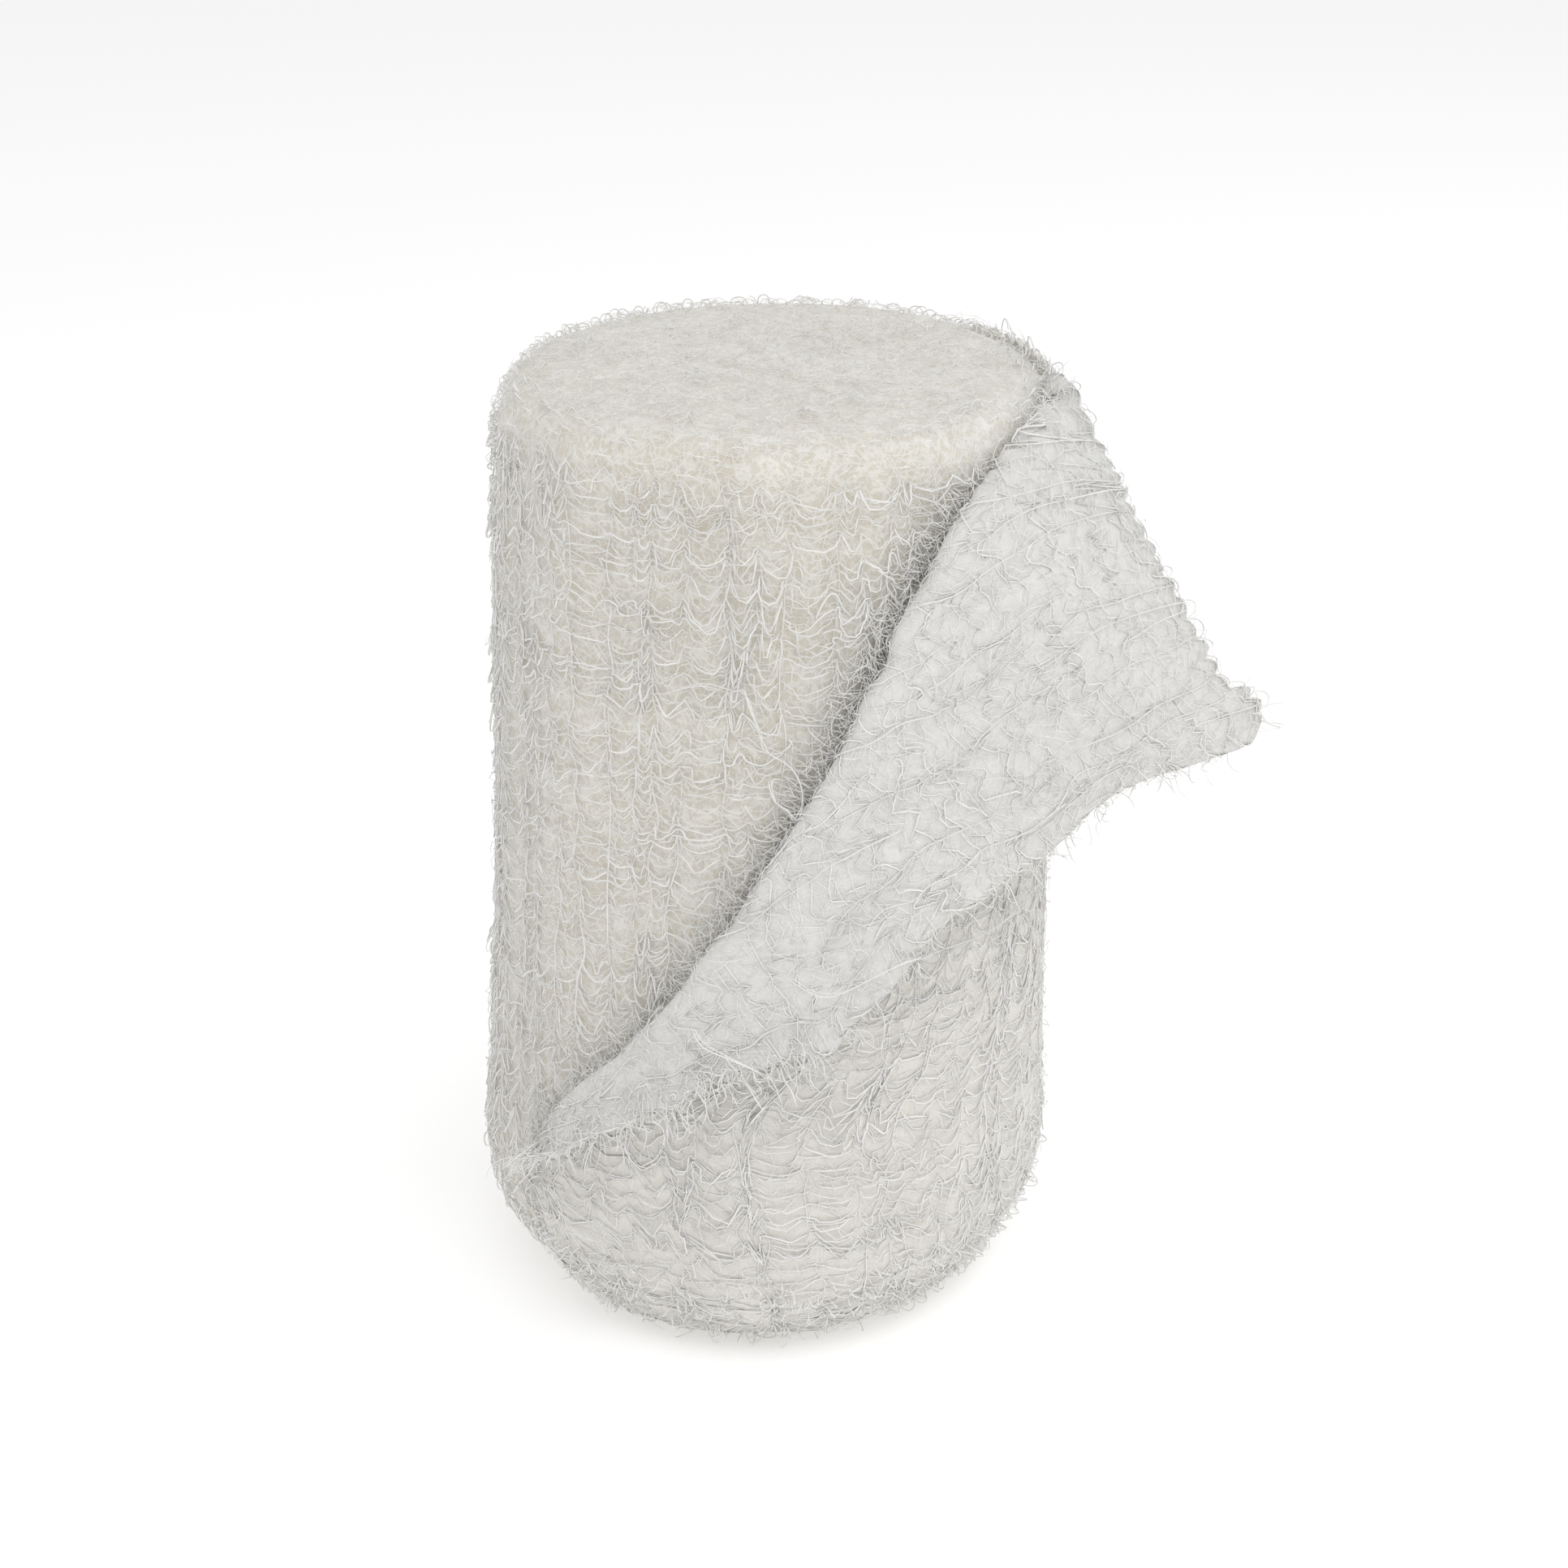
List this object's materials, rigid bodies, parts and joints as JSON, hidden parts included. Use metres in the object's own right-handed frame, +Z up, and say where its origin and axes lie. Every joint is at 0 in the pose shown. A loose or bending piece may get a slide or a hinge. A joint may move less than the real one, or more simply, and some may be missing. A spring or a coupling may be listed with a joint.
{
  "type": "gauze bandage roll",
  "caption": "Roll of soft crinkled multi-ply gauze standing on its end, its loose outer end folded back diagonally like a lapel",
  "frame": {"origin": "centre of the flat lower end, where the roll's axis meets the surface that it stands on", "axes": "+Z up along the roll, -Y the side that the picture shows, +X towards the side where the lapel points"},
  "size_m": [0.0902, 0.0755, 0.1152],
  "materials": {
    "gauze": "matt, fluffy crimped cotton yarns, off-white"
  },
  "bodies": {
    "root": {"wound_roll": "gauze", "loose_end": "gauze"}
  },
  "joints": []
}
